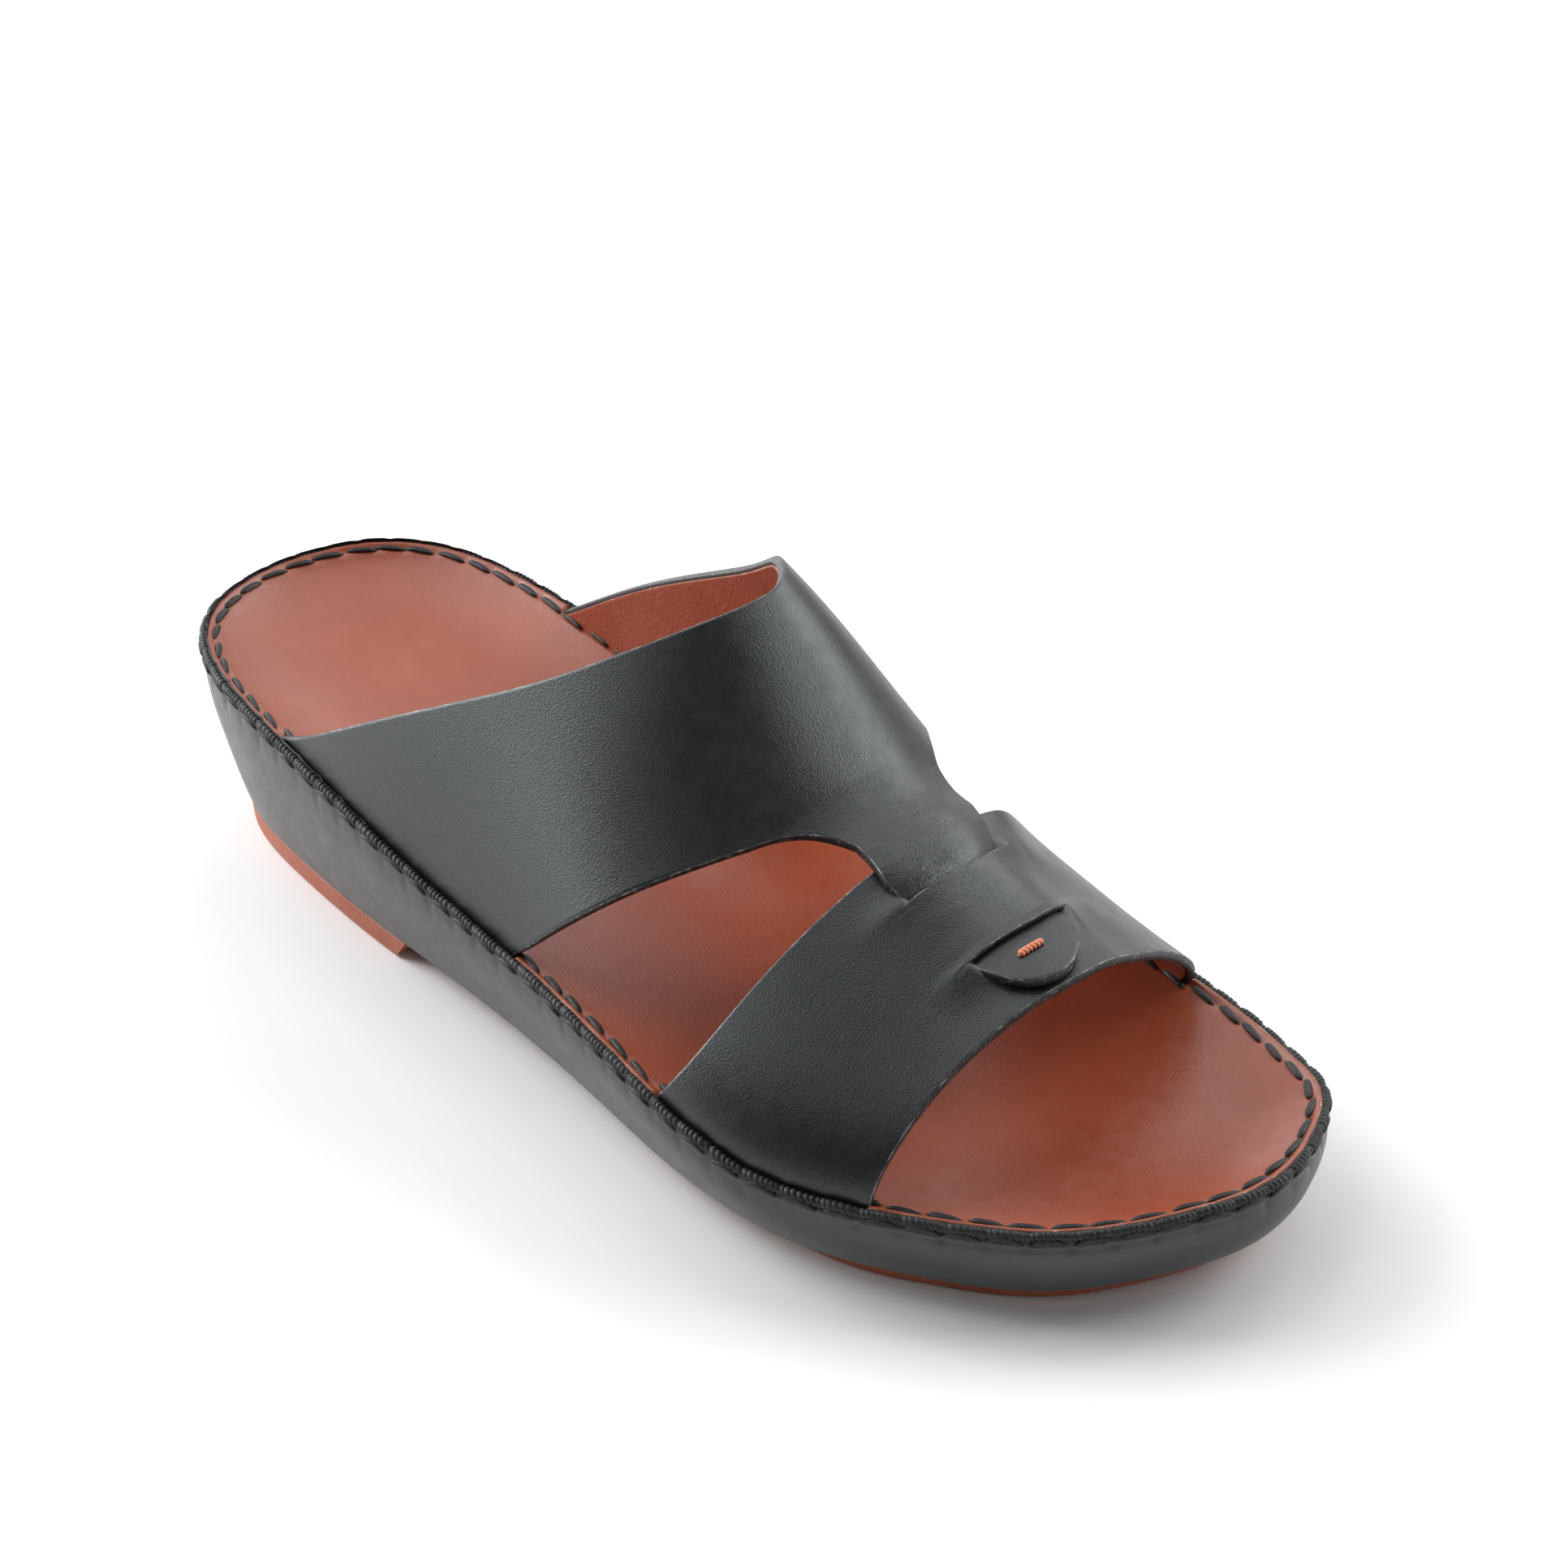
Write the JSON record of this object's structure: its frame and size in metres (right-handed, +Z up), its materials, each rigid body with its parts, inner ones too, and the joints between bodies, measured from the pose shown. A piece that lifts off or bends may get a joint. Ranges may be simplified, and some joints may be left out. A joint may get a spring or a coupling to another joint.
{
  "type": "sandal",
  "caption": "Right slip-on leather sandal: broad instep strap threaded through a toe strap with a half-round tab, dished footbed on a padded wedge sole.",
  "frame": {"origin": "middle of the shoe's outline box, on the floor that it stands on", "axes": "+X along the shoe towards the toe, +Y to the wearer's left, +Z up"},
  "size_m": [0.2874, 0.1159, 0.0937],
  "materials": {
    "black_leather": "satin",
    "black_wall_leather": "satin",
    "black_thread": "waxed",
    "tan_leather": "satin",
    "tan_sole": "matte",
    "tan_heel": "satin"
  },
  "bodies": {
    "root": {"outsole": "tan_sole", "heel_lift": "tan_heel", "midsole": "black_wall_leather", "edge_roll": "black_thread", "footbed": "tan_leather", "upper": "black_leather"}
  },
  "joints": []
}
